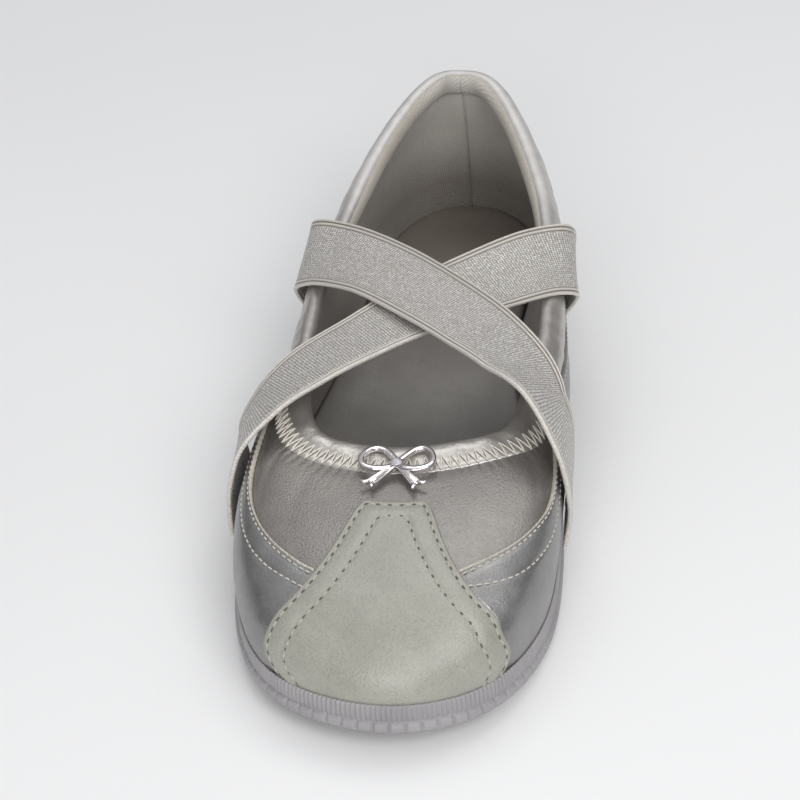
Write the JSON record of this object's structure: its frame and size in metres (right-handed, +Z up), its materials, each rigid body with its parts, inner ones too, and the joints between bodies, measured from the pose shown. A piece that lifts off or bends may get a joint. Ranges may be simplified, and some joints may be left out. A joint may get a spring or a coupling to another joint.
{
  "type": "ballet sneaker",
  "caption": "Soft leather ballet flat for the right foot on a rubber cup sole, with crossed elastic bands over the instep and a small bow charm.",
  "frame": {"origin": "on the floor, under the middle of the shoe's bounding box", "axes": "+Y towards the heel along the shoe's length, -Y towards the toe, +X towards the big-toe side, +Z up"},
  "size_m": [0.0916, 0.2472, 0.0649],
  "materials": {
    "sole_rubber": "satin moulded rubber",
    "insole_leather": "smooth lining leather",
    "vamp_leather": "pebbled leather with a silver foil",
    "toe_leather": "smooth satin leather",
    "panel_leather": "crinkled leather with a silver foil",
    "binding_leather": "pearly smooth leather",
    "band_elastic": "woven elastic with a metallic thread",
    "charm_metal": "polished wire",
    "charm_stone": "cut clear stone"
  },
  "bodies": {
    "root": {"outsole": "sole_rubber", "insole": "insole_leather", "upper": "vamp_leather", "toe_overlay": "toe_leather", "side_panel_outer": "panel_leather", "side_panel_inner": "panel_leather", "topline_binding": "binding_leather", "strap_over": "band_elastic", "strap_under": "band_elastic", "bow": "charm_metal", "bow_crystal": "charm_stone"}
  },
  "joints": []
}
